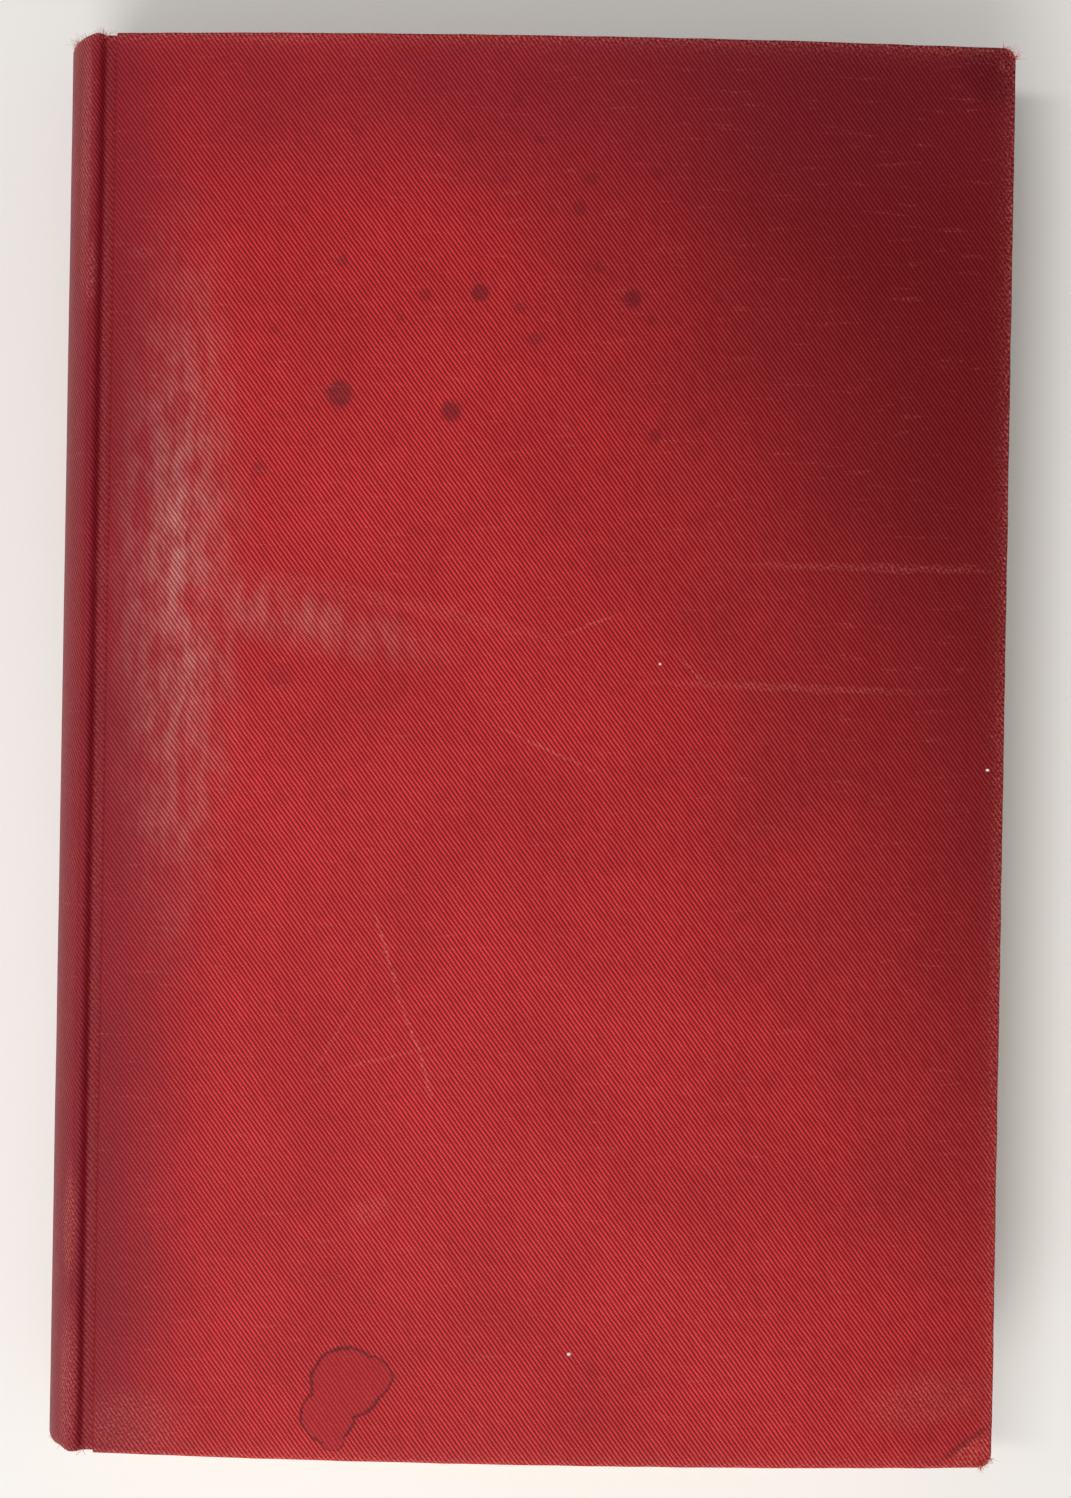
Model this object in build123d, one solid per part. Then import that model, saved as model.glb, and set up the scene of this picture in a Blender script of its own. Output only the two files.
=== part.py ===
from build123d import *
import os
from math import asin, cos, degrees, radians, sin, sqrt

# A hardback book in a cloth case, closed and lying on its back cover, in millimetres.
# +X runs from the spine to the fore edge, +Y from the tail to the head, +Z up.
# The section is drawn about the middle of the book's thickness and lifted at the end,
# so that the back cover rests on z = 0.

# Book block: the sewn, rounded and backed leaves.
leaf_height = 228.6
block_width = 148.7  # shoulder tip to fore edge
block_thickness = 20.0
spine_round = 4.6  # how far the spine bulges past the shoulder tips
shoulder_run = 2.6  # width of the shoulder, from its tip to its foot
front_swell = 1.5  # the uppermost leaves have risen with the warped front board

# Sheet materials.
cloth = 0.45
paper = 0.15
gauze = 0.25
lining = 0.2
spine_card = 0.7
board_thickness = 2.5

# Case.
square = 2.8  # how far the boards stand past the leaves
turn_in = 15.0
board_corner_radius = 2.0
edge_softening = 0.4
front_bow = 2.4  # warp of the front board, about an axis along the spine
back_bow = 0.0
gauze_flange = 25.0
gauze_short = 15.0  # the gauze stops this far from the head and the tail
lining_short = 2.3
lining_inset = 0.6  # along the spine, in from the shoulder tips

# French joint: the groove between the spine and each board.
crest_drop = 0.35
crest_radius = 1.2
groove_depth = 1.5
groove_fillet = 0.8
groove_slope = 55.0  # degrees below level
groove_width = 3.4  # crest to the cloth on the board's back edge
card_inset = 0.8  # along the spine, in from the start of the crest

# Clearances.
cover_gap = 0.25  # closed cover to flyleaf
hollow = 0.6  # spine lining to turned-in cloth and spine card
joint_clearance = 0.1  # shoulder tip and its flyleaf under the doubled joint cloth
hinge_gap = 0.3

# Head and tail bands.
band_radius = 0.8
band_sink = 0.5  # bead centre inside the leaves' backs
band_tongue = 11.0
band_inset = 2.0  # along the spine, in from the shoulder tips

# Heights, from the middle of the thickness.
block_half = block_thickness / 2
inner_level = block_half + paper + cover_gap + paper + cloth
outer_level = inner_level + board_thickness + cloth
groove_level = outer_level - groove_depth
joint_level = groove_level - cloth  # underside of the single joint cloth
crest_level = outer_level - crest_drop
tip_level = groove_level - 2 * cloth - paper - joint_clearance

# Spine arcs, about one centre; the shoulder tip is at x = 0 until the whole is centred.
back_radius = (tip_level**2 + spine_round**2) / (2 * spine_round)
centre_from_tip = back_radius - spine_round
spine_build = gauze + lining + hollow + spine_card + cloth
spine_radius = back_radius + spine_build
spine_from_tip = spine_round + spine_build
fore_cloth_from_tip = block_width + square + cloth
tip_x = (spine_from_tip - fore_cloth_from_tip) / 2
centre_x = tip_x + centre_from_tip
tip_angle = degrees(asin(tip_level / back_radius))

# Crest, slope and groove of the joint.
crest_centre_level = crest_level - crest_radius
crest_reach = spine_radius - crest_radius
crest_angle = degrees(asin(crest_centre_level / crest_reach))
crest_x = centre_x - crest_reach * cos(radians(crest_angle))
slope_drop = groove_level + groove_fillet - crest_centre_level
slope_run = crest_radius + groove_fillet - slope_drop * cos(radians(groove_slope))
groove_x = crest_x + slope_run / sin(radians(groove_slope))
board_back = crest_x + groove_width + cloth
hinge_x = (groove_x + board_back - cloth) / 2
spine_side = hinge_x - hinge_gap / 2
cover_side = hinge_x + hinge_gap / 2

# Lengths in plan.
foot_x = tip_x + shoulder_run
fore_x = tip_x + block_width
board_fore = fore_x + square
fore_turn_in = board_fore - turn_in
leaf_half = leaf_height / 2
board_half = leaf_half + square
turn_in_half = board_half - turn_in
case_half = board_half + cloth
gauze_half = leaf_half - gauze_short

BOTH_ENDS = (-1, 1)


def arc(centre, radius, start, end):
    """An arc between two directions, in degrees."""
    middle = (start + end) / 2
    angles = [radians(angle) for angle in (start, middle, end)]
    x, z = centre
    return ThreePointArc(*[(x + radius * cos(a), z + radius * sin(a)) for a in angles])


def rise(x, start, end, bow):
    """The height at x of a shallow arch that stands on start and end."""
    if not bow:
        return 0.0
    half = (end - start) / 2
    radius = (half**2 + bow**2) / (2 * bow)
    return bow - radius + sqrt(radius**2 - (x - start - half) ** 2)


def run(start, end, level, arch):
    """An edge from start to end that follows an arch lifted to a level."""
    points = [(x, level + rise(x, *arch)) for x in (start, (start + end) / 2, end)]
    return ThreePointArc(*points) if arch[-1] else Line(points[0], points[-1])


def closed(*edges):
    """A face bounded by edges in order, with straight lines across the gaps between them."""
    loop = []
    for edge, following in zip(edges, (*edges[1:], edges[0])):
        loop.append(edge)
        if (following @ 0 - edge @ 1).length > 1e-6:
            loop.append(Line(edge @ 1, following @ 0))
    return make_face(loop)


def prism(section, low, high):
    """A section in XZ, carried along Y from low to high."""
    return Pos(0, high, 0) * extrude(Plane.XZ * section, high - low)


def slab(section, half):
    """A section carried equally far towards the head and the tail."""
    return prism(section, -half, half)


def leaves_top(bow):
    """The arch that the outermost leaf follows, from the shoulder's foot to the fore edge."""
    return (foot_x, fore_x, bow)


def board_arch(bow):
    """The arch that both faces of a board follow."""
    return (board_back, board_fore, bow)


def make_page_block():
    hollow_back = back_radius - sqrt(back_radius**2 - block_half**2)
    spine = arc((centre_x, 0), back_radius, 180 + tip_angle, 180 - tip_angle)
    top = run(foot_x, fore_x, block_half, leaves_top(front_swell))
    fore_edge = ThreePointArc((fore_x, block_half), (fore_x - hollow_back, 0), (fore_x, -block_half))
    bottom = Line((fore_x, -block_half), (foot_x, -block_half))
    return slab(closed(spine, top, fore_edge, bottom), leaf_half)


def make_flyleaf(bow):
    """The free half of an endpaper, tipped on along the shoulder."""
    arch = leaves_top(bow)
    under = run(foot_x, fore_x, block_half, arch)
    over = run(fore_x, foot_x, block_half + paper, arch)
    shoulder = Line((tip_x, tip_level + paper), (tip_x, tip_level))
    return slab(closed(under, over, shoulder), leaf_half)


def sector(inner, outer, half_angle):
    """A band between two radii about the spine's centre."""
    centre = (centre_x, 0)
    outside = arc(centre, outer, 180 + half_angle, 180 - half_angle)
    inside = arc(centre, inner, 180 - half_angle, 180 + half_angle)
    return closed(outside, inside)


def make_spine_gauze():
    return slab(sector(back_radius, back_radius + gauze, tip_angle), gauze_half)


def make_spine_lining():
    inner = back_radius + gauze
    half_angle = tip_angle - degrees(lining_inset / back_radius)
    return slab(sector(inner, inner + lining, half_angle), leaf_half - lining_short)


def make_band():
    """A head band: a worked bead on the leaves' ends, with a tongue glued down their backs."""
    bead_y = leaf_half + band_radius
    bead = Pos(centre_x - back_radius + band_sink, bead_y) * Circle(band_radius)
    tongue = Rectangle(gauze, band_tongue, align=(Align.MIN, Align.MAX))
    profile = bead + Pos(centre_x - back_radius - gauze, bead_y) * tongue
    axis = Axis((centre_x, 0, 0), (0, 1, 0))
    half_angle = tip_angle - degrees(band_inset / back_radius)
    return revolve(profile, axis, 2 * half_angle).rotate(axis, -half_angle)


def make_spine_card():
    outer = spine_radius - cloth
    half_angle = crest_angle - degrees(card_inset / spine_radius)
    return slab(sector(outer - spine_card, outer, half_angle), board_half)


def spine_outline(inset, side=spine_side):
    """The case's section from joint to joint, moved in by an inset, and open at a side."""
    level = groove_level - inset
    slope = groove_slope
    fillet_level = groove_level + groove_fillet
    crest, groove = crest_radius - inset, groove_fillet + inset
    return closed(
        Line((side, -level), (groove_x, -level)),
        arc((groove_x, -fillet_level), groove, 90, 90 + slope),
        arc((crest_x, -crest_centre_level), crest, slope - 90, crest_angle - 180),
        arc((centre_x, 0), spine_radius - inset, 180 + crest_angle, 180 - crest_angle),
        arc((crest_x, crest_centre_level), crest, 180 - crest_angle, 90 - slope),
        arc((groove_x, fillet_level), groove, 270 - slope, 270),
        Line((groove_x, level), (side, level)),
    )


def make_spine_cloth(card):
    """The case cloth over the spine and into both joints, turned in at the head and the tail."""
    past_side = spine_side + turn_in
    doubled = spine_outline(2 * cloth, past_side)
    inside_card = Pos(centre_x, 0) * Circle(back_radius + gauze + lining + hollow - cloth)
    void = doubled & inside_card
    outside = slab(spine_outline(0), case_half)
    rims = outside.faces().filter_by(Axis.Y).edges().filter_by(Axis.Z, reverse=True)
    outside = fillet(rims, edge_softening)
    outside -= slab(void, board_half + 2 * cloth)
    return outside - card - slab(spine_outline(cloth, past_side), turn_in_half)


def board_section(bow, grow=0.0):
    """A board's section, grown on all four sides by a thickness of cloth or by nothing."""
    arch = board_arch(bow)
    back, fore = board_back - grow, board_fore + grow
    under = run(back, fore, inner_level - grow, arch)
    over = run(fore, back, inner_level + board_thickness + grow, arch)
    return closed(under, over)


def round_fore_corners(solid, radius):
    """The same solid with its two fore corners rounded in plan."""
    return fillet(solid.edges().filter_by(Axis.Z).group_by(Axis.X)[-1], radius)


def make_board(bow):
    return round_fore_corners(slab(board_section(bow), board_half), board_corner_radius)


def make_cover_cloth(board, bow):
    """The case cloth round one board: its face, its edges, its turn-ins and its half of the joint."""
    wrapped = slab(board_section(bow, cloth), case_half)
    wrapped = round_fore_corners(wrapped, board_corner_radius + cloth)
    wrapped = fillet(wrapped.edges().filter_by(Axis.Z, reverse=True), edge_softening)
    strip = closed(
        Line((cover_side, groove_level), (board_back, groove_level)),
        Line((board_back, groove_level - 2 * cloth), (cover_side, groove_level - 2 * cloth)),
    )
    below = inner_level - 2 * cloth
    window = closed(
        Line((cover_side, joint_level), (board_back, joint_level)),
        run(board_back, fore_turn_in, inner_level, board_arch(bow)),
        Line((fore_turn_in, below), (cover_side, below)),
    )
    wrapped += slab(strip, case_half)
    return wrapped - board - slab(window, turn_in_half)


def make_gauze_flange(bow):
    """The gauze that ties the block to a board, glued across the joint and inside the board."""
    arch = board_arch(bow)
    end = board_back + gauze_flange
    section = closed(
        Line((cover_side, joint_level), (board_back, joint_level)),
        run(board_back, end, inner_level, arch),
        run(end, board_back - gauze, inner_level - gauze, arch),
        Line((board_back - gauze, joint_level - gauze), (cover_side, joint_level - gauze)),
    )
    return slab(section, gauze_half)


def pastedown_section(joint_drop, wall, steps, bow):
    """Everything between a board and the paper pasted over it. Each step is an end and a depth."""
    arch = board_arch(bow)
    level = groove_level - joint_drop - paper
    start = board_back - wall - paper
    edges = [Line((cover_side, level), (start, level))]
    for end, depth in steps:
        edges.append(run(start, end, inner_level - depth - paper, arch))
        start = end
    edges.append(run(fore_x, board_back, inner_level, arch))
    edges.append(Line((board_back, joint_level), (cover_side, joint_level)))
    return closed(*edges)


def make_pastedown(bow, *under):
    """The pasted half of an endpaper, draped over the gauze and the turned-in cloth."""
    turned = fore_turn_in - paper
    flange = board_back + gauze_flange + paper
    over_gauze = [(flange, gauze), (turned, 0), (fore_x, cloth)]
    over_board = [(turned, 0), (fore_x, cloth)]
    sheet = slab(pastedown_section(cloth + gauze, gauze, over_gauze, bow), gauze_half + paper)
    sheet += slab(pastedown_section(cloth, 0, over_board, bow), turn_in_half)
    over_turn_in = pastedown_section(2 * cloth, cloth, [(fore_x, cloth)], bow)
    for end in BOTH_ENDS:
        sheet += prism(over_turn_in, *sorted((end * (turn_in_half - paper), end * leaf_half)))
    for piece in under:
        sheet -= piece
    return sheet


def make_cover(side, bow):
    """One cover's four pieces, drawn as the upper one."""
    board = make_board(bow)
    cover_cloth = make_cover_cloth(board, bow)
    flange = make_gauze_flange(bow)
    pastedown = make_pastedown(bow, board, cover_cloth, flange)
    return {
        f"{side}_board": board,
        f"{side}_cloth": cover_cloth,
        f"{side}_gauze": flange,
        f"{side}_pastedown": pastedown,
        f"{side}_flyleaf": make_flyleaf(front_swell if bow else 0.0),
    }


card = make_spine_card()
head_band = make_band()
lower = {name: mirror(solid, Plane.XY) for name, solid in make_cover("back", back_bow).items()}
pieces = {
    "page_block": make_page_block(),
    "spine_gauze": make_spine_gauze(),
    "spine_lining": make_spine_lining(),
    "head_band": head_band,
    "tail_band": mirror(head_band, Plane.XZ),
    "spine_card": card,
    "spine_cloth": make_spine_cloth(card),
    **make_cover("front", front_bow),
    **lower,
}

os.makedirs("parts", exist_ok=True)
for name, solid in pieces.items():
    export_step(Pos(0, 0, outer_level) * solid, f"parts/{name}.step")
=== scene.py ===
"""A hardback book: a red twill cloth case round a block of aged leaves, finished over its fixed frame."""
import math
import random

import bmesh
import bpy
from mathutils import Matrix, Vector, noise


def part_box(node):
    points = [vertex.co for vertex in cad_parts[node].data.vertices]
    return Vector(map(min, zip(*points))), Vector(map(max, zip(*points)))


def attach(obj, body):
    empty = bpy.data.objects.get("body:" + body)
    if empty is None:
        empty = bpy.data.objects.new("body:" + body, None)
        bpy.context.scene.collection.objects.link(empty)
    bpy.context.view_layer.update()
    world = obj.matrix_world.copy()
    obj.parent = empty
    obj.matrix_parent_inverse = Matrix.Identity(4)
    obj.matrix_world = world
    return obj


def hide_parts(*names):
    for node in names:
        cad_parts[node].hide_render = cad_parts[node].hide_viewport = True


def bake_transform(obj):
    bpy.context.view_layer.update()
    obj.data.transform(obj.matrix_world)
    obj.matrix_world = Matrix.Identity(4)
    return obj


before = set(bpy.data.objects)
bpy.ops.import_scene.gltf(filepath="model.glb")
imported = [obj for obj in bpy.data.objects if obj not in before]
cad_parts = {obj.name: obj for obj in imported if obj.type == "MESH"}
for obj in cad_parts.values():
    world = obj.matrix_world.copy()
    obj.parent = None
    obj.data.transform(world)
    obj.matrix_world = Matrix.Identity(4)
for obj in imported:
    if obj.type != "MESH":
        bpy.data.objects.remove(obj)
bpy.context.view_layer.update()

bl_info = {
    "name": "Hardback Book",
    "version": (1, 0, 0),
    "blender": (4, 5, 0),
    "location": "3D View > Sidebar > Book",
    "description": "Builds the cloth case, leaves and endpapers of a hardback book over its frame",
    "category": "Object",
}

MM = 0.001


def box_mm(node):
    """A node's lowest and highest corners at rest, in millimetres."""
    return [[value / MM for value in corner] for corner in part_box(node)]


# The frame's own sizes, in millimetres. Levels are measured from the middle of the thickness.
SPINE_LOW, SPINE_HIGH = box_mm("spine_cloth")
COVER_HIGH = box_mm("front_cloth")[1]
BOARD_LOW, BOARD_HIGH = box_mm("front_board")
BACK_BOARD_LOW, BACK_BOARD_HIGH = box_mm("back_board")
LEAVES_LOW, LEAVES_HIGH = box_mm("page_block")
FLYLEAF_LOW = box_mm("front_flyleaf")[0]
GAUZE_HIGH = box_mm("front_gauze")[1]

MIDDLE = (SPINE_LOW[2] + SPINE_HIGH[2]) / 2
OUTER = MIDDLE  # the back cover's outer face lies on zero
CLOTH = BACK_BOARD_LOW[2]
BOARD = BACK_BOARD_HIGH[2] - BACK_BOARD_LOW[2]
INNER = OUTER - CLOTH - BOARD
COVER_DEPTH = BOARD + 2 * CLOTH
FRONT_BOW = COVER_HIGH[2] - MIDDLE - OUTER
HALF = COVER_HIGH[1]
FORE = COVER_HIGH[0]
BOARD_BACK = BOARD_LOW[0]
WALL_X = BOARD_BACK - CLOTH

# The block and the spine's arcs, about one centre.
LEAF_HALF = LEAVES_HIGH[1]
LEAF_FORE = LEAVES_HIGH[0]
TIP_X = FLYLEAF_LOW[0]
TIP_LEVEL = MIDDLE - LEAVES_LOW[2]
SPINE_ROUND = TIP_X - LEAVES_LOW[0]
BACK_RADIUS = (TIP_LEVEL**2 + SPINE_ROUND**2) / (2 * SPINE_ROUND)
CENTRE_X = LEAVES_LOW[0] + BACK_RADIUS
SPINE_RADIUS = CENTRE_X - SPINE_LOW[0]
SHOULDER_RUN = 2.6
BLOCK_HALF = 10.0
FRONT_SWELL = LEAVES_HIGH[2] - MIDDLE - BLOCK_HALF
PAPER = 0.15
GAUZE = 0.25

# The French joint: crest, slope and groove.
CREST_RADIUS = 1.2
GROOVE_DEPTH = 1.5
GROOVE_FILLET = 0.8
GROOVE_SLOPE = 55.0  # degrees below level
CARD_DEPTH = 1.6  # cloth, card and turned-in cloth
JOINT_DEPTH = 2 * CLOTH
CREST_LEVEL = SPINE_HIGH[2] - MIDDLE - CREST_RADIUS
CREST_REACH = SPINE_RADIUS - CREST_RADIUS
CREST_ANGLE = math.degrees(math.asin(CREST_LEVEL / CREST_REACH))
CREST_X = CENTRE_X - CREST_REACH * math.cos(math.radians(CREST_ANGLE))
GROOVE_LEVEL = OUTER - GROOVE_DEPTH
SLOPE_DROP = GROOVE_LEVEL + GROOVE_FILLET - CREST_LEVEL
SLOPE_RUN = CREST_RADIUS + GROOVE_FILLET - SLOPE_DROP * math.cos(math.radians(GROOVE_SLOPE))
GROOVE_X = CREST_X + SLOPE_RUN / math.sin(math.radians(GROOVE_SLOPE))
WALL_RUN = 0.45  # how far the board's back edge is rounded each way

FLAT = "flat"  # where a point lies on the uncut sheet, in millimetres
WEAR = "wear"  # 1 on an edge that hands and shelves rub, 0 away from it

EDGE_RADIUS = 0.45
CORNER_RADIUS = 2.45
ROUNDING_STEPS = 3
FACE_STEPS = 3
TURN_IN_STEPS = 8
CELL = 1.9
WEAR_REACH = 1.2  # how fast the wear fades away from an edge
EDGE_CELLS = (0.0, 0.35, 0.85, 1.55, 2.45, 4.0)  # rows this far in from a rounded edge


def linear(code):
    """A colour in the linear values that shaders use, from its sRGB hex code."""
    parts = [int(code[i:i + 2], 16) / 255 for i in (1, 3, 5)]
    return [p / 12.92 if p <= 0.04045 else ((p + 0.055) / 1.055) ** 2.4 for p in parts]


def colour(name, code, description):
    """A colour property whose default is an sRGB hex code."""
    return bpy.props.FloatVectorProperty(
        name=name, description=description, subtype="COLOR", size=3, min=0, max=1, default=linear(code)
    )


def length(name, millimetres, description):
    """A length property, held in metres and given in millimetres."""
    return bpy.props.FloatProperty(
        name=name, description=description, unit="LENGTH", min=0, default=millimetres * MM
    )


class BookCaseSettings(bpy.types.PropertyGroup):
    """Sizes and colours of the cloth case."""

    turn_in: length("Turn-in", 15, "How far the cloth is turned in round each board")
    thickness: length("Cloth thickness", 0.4, "Thickness of the book cloth")
    rib_pitch: length("Rib pitch", 0.61, "Distance between the twill's ribs")
    thread_pitch: length("Thread pitch", 0.36, "Distance between the threads that cross a rib")
    rib_red: colour("Rib", "#e4383a", "Tops of the glazed ribs")
    # painted shade: the valleys are the rib red darkened as shade between the ribs
    valley_shade_red: colour("Valley", "#7a040f", "Shaded valleys between the ribs")
    # deep red serves the random tired patches and the painted shade towards the head and the fore edge
    deep_tone_and_shade_red: colour("Deep red", "#5e0008", "Darkened cloth towards the head and the fore edge")
    worn_red: colour("Worn", "#d9756a", "Rubbed cloth along edges and caps")
    spot_red: colour("Spots", "#640a14", "Old drips on the front cover")
    # painted shade: the colour of the darker band along the spine and the head
    spine_head_shade_red: colour("Handled", "#6f1222", "Cloth soiled by hands along the spine and the head")


class BookLeavesSettings(bpy.types.PropertyGroup):
    """Sizes and colours of the leaves and endpapers."""

    groups: bpy.props.IntProperty(
        name="Leaf groups", description="How many groups of leaves show at the edges",
        min=8, max=90, default=60,
    )
    unevenness: length("Unevenness", 0.12, "How far a group of leaves stands in or out at its edges")
    leaf_pitch: length("Leaf pitch", 0.24, "Distance between the lines that show on the leaves' edges")
    paper_cream: colour("Leaf edges", "#e6d8b8", "Aged, uncoated book paper")
    # used for the dust and for the painted shade in the lines between the leaves
    paper_dust_and_shade: colour("Dusty edges", "#b8a27c", "Dust and age between the leaves")
    endpaper_cream: colour("Endpapers", "#e2d3b2", "Aged plain endpaper")


class BookStageSettings(bpy.types.PropertyGroup):
    """The floor, lamps and camera round the book."""

    floor: colour("Floor", "#eeebe7", "Plain pale floor")
    lens: bpy.props.FloatProperty(
        name="Lens", description="Focal length on a 36 mm long side", min=10, max=200, default=48
    )
    camera_height: length("Camera height", 358, "Camera above the floor")
    key_power: bpy.props.FloatProperty(
        name="Key lamp", description="Power of the soft lamp past the tail", unit="POWER", min=0, default=8.5
    )
    sheen_power: bpy.props.FloatProperty(
        name="Sheen lamp", description="Power of the lamp over the spine", unit="POWER", min=0, default=2.6
    )
    sky: bpy.props.FloatProperty(
        name="Sky", description="Strength of the soft light from all round", min=0, max=1, default=0.72
    )


def rise(x, bow, start=BOARD_BACK, end=BOARD_HIGH[0]):
    """The height at x of a shallow arch that stands on start and end."""
    half = (end - start) / 2
    if abs(bow) < 1e-6:
        return 0.0
    radius = (half**2 + bow**2) / (2 * bow)
    return bow - radius + math.sqrt(radius**2 - (x - start - half) ** 2)


def smooth(value, low, high):
    """0 below low, 1 above high, and a smooth change between."""
    t = min(max((value - low) / (high - low), 0.0), 1.0)
    return t * t * (3 - 2 * t)


def polar(centre, radius, degrees_up):
    """A point at a radius from a centre, in a direction given in degrees."""
    angle = math.radians(degrees_up)
    return centre[0] + radius * math.cos(angle), centre[1] + radius * math.sin(angle)


# ---------------------------------------------------------------------------------------------
# Sheets


class Sheet:
    """Grids of points on one bent sheet. Each point has its place, its flat place and its wear."""

    def __init__(self):
        self.points, self.flats, self.wears, self.faces = [], [], [], []

    def grid(self, columns):
        """Adds columns of (point, flat, wear), with a quad between each four neighbours."""
        base, rows = len(self.points), len(columns[0])
        for column in columns:
            for point, flat, wear in column:
                self.points.append([value * MM for value in point])
                self.flats.append(flat)
                self.wears.append(wear)
        for i in range(len(columns) - 1):
            for j in range(rows - 1):
                a = base + i * rows + j
                self.faces.append((a, a + rows, a + rows + 1, a + 1))

    def mesh(self, name):
        """The grids as one mesh, with its attributes."""
        mesh = bpy.data.meshes.new(name)
        mesh.from_pydata(self.points, [], self.faces)
        flat = mesh.attributes.new(FLAT, "FLOAT_VECTOR", "POINT")
        flat.data.foreach_set("vector", [value for place in self.flats for value in place])
        mesh.attributes.new(WEAR, "FLOAT", "POINT").data.foreach_set("value", self.wears)
        return mesh


def joined(mesh, facing):
    """Joins shared edges, drops stray faces and turns the sheet's outer face to +Z or -Z."""
    work = bmesh.new()
    work.from_mesh(mesh)
    bmesh.ops.remove_doubles(work, verts=work.verts, dist=0.001 * MM)
    bmesh.ops.dissolve_degenerate(work, edges=work.edges, dist=0.0005 * MM)
    bmesh.ops.recalc_face_normals(work, faces=work.faces)
    widest = max(work.faces, key=lambda face: face.calc_center_median().z * facing)
    if widest.normal.z * facing < 0:
        bmesh.ops.reverse_faces(work, faces=work.faces)
    work.to_mesh(mesh)
    work.free()


def shown(mesh, material):
    """An object for a mesh, in the scene, smooth and with its material."""
    piece = bpy.data.objects.new(mesh.name, mesh)
    bpy.context.scene.collection.objects.link(piece)
    mesh.materials.append(material)
    mesh.shade_smooth()
    return piece


def thicken(piece, thickness):
    """Gives a sheet its thickness, behind its outer face."""
    solid = piece.modifiers.new("thickness", "SOLIDIFY")
    solid.thickness = thickness
    solid.offset = -1
    bpy.context.view_layer.update()
    evaluated = piece.evaluated_get(bpy.context.evaluated_depsgraph_get())
    mesh = bpy.data.meshes.new_from_object(evaluated)
    piece.modifiers.clear()
    piece.data = mesh


def spread(low, high, fine_low, fine_high):
    """Values from low to high, a cell apart, with the finer edge cells at the ends that ask for them."""
    first = [low + step for step in EDGE_CELLS] if fine_low else [low]
    last = [high - step for step in reversed(EDGE_CELLS)] if fine_high else [high]
    count = max(1, round((last[0] - first[-1]) / CELL))
    between = [first[-1] + (last[0] - first[-1]) * i / count for i in range(1, count)]
    return first + between + last


def edge_profile(depth, turn_in):
    """From a face round its edge and back under it: each step's inset, depth and length of cloth."""
    radius = min(EDGE_RADIUS, 0.45 * depth)
    angles = [math.radians(90 * i / ROUNDING_STEPS) for i in range(ROUNDING_STEPS + 1)]
    corner = [(radius * (1 - math.sin(a)), radius * (1 - math.cos(a))) for a in angles]
    steps = list(corner)
    steps += [(0.0, radius + (depth - 2 * radius) * i / FACE_STEPS) for i in range(1, FACE_STEPS)]
    steps += [(inset, depth - drop) for inset, drop in reversed(corner)]
    under = turn_in + CLOTH - radius
    steps += [(radius + under * i / TURN_IN_STEPS, depth) for i in range(1, TURN_IN_STEPS + 1)]
    profile, run = [], 0.0
    for before, (inset, drop) in zip([steps[0]] + steps, steps):
        run += math.dist(before, (inset, drop))
        profile.append((inset, drop, run))
    return radius, profile


def edge_wear(inset, drop, depth):
    """Wear is full on both rounded edges, less on the face between, and fades away from them."""
    if inset > EDGE_RADIUS:
        return math.exp(-inset / WEAR_REACH) * (1.0 if drop < depth / 2 else 0.4)
    return 1.0 if drop < depth / 2 else 0.7


# ---------------------------------------------------------------------------------------------
# The cloth case


def spine_stations():
    """The cloth from the middle of the spine over the crest to the groove: outer and inner points."""
    stations = []
    centre = (CENTRE_X, 0.0)
    for i in range(13):
        angle = CREST_ANGLE * i / 12
        taper = smooth(angle, CREST_ANGLE - 9, CREST_ANGLE - 3)
        depth = CARD_DEPTH + (JOINT_DEPTH - CARD_DEPTH) * taper
        inner = polar(centre, SPINE_RADIUS - depth, 180 - angle)
        stations.append((polar(centre, SPINE_RADIUS, 180 - angle), inner))
    crest = (CREST_X, CREST_LEVEL)
    first, last = 180 - CREST_ANGLE, 90 - GROOVE_SLOPE
    for i in range(1, 7):
        angle = first + (last - first) * i / 6
        inner = polar(crest, CREST_RADIUS - JOINT_DEPTH, angle)
        stations.append((polar(crest, CREST_RADIUS, angle), inner))
    groove = (GROOVE_X, GROOVE_LEVEL + GROOVE_FILLET)
    for i in range(5):
        angle = 180 + last + (90 - last) * i / 4
        inner = polar(groove, GROOVE_FILLET + JOINT_DEPTH, angle)
        stations.append((polar(groove, GROOVE_FILLET, angle), inner))
    return stations


def joint_stations():
    """The cloth along the groove's bottom and up the board's back edge."""
    stations = []
    foot = WALL_X - WALL_RUN
    for i in range(1, 8):
        x = GROOVE_X + (foot - GROOVE_X) * i / 8
        stations.append(((x, GROOVE_LEVEL), (x, GROOVE_LEVEL - JOINT_DEPTH)))
    under = GROOVE_LEVEL - JOINT_DEPTH - (OUTER - COVER_DEPTH)
    for i in range(9):
        t = i / 8
        x = WALL_X + WALL_RUN * (2 * t - 1) ** 3
        share = smooth(t, 0, 1)
        upper = GROOVE_LEVEL + GROOVE_DEPTH * share
        stations.append(((x, upper), (x, GROOVE_LEVEL - JOINT_DEPTH - under * share)))
    return stations


def mirrored(stations):
    """The same stations on the other side of the middle, in reverse order."""
    return [((a[0], -a[1]), (b[0], -b[1])) for a, b in reversed(stations)]


def flat_places(stations):
    """How far along the uncut cloth each station lies, level with the board's back edge at the last."""
    runs = [0.0]
    for before, after in zip(stations, stations[1:]):
        runs.append(runs[-1] + math.dist(before[0], after[0]))
    return [run - runs[-1] + stations[-1][0][0] for run in runs]


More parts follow.
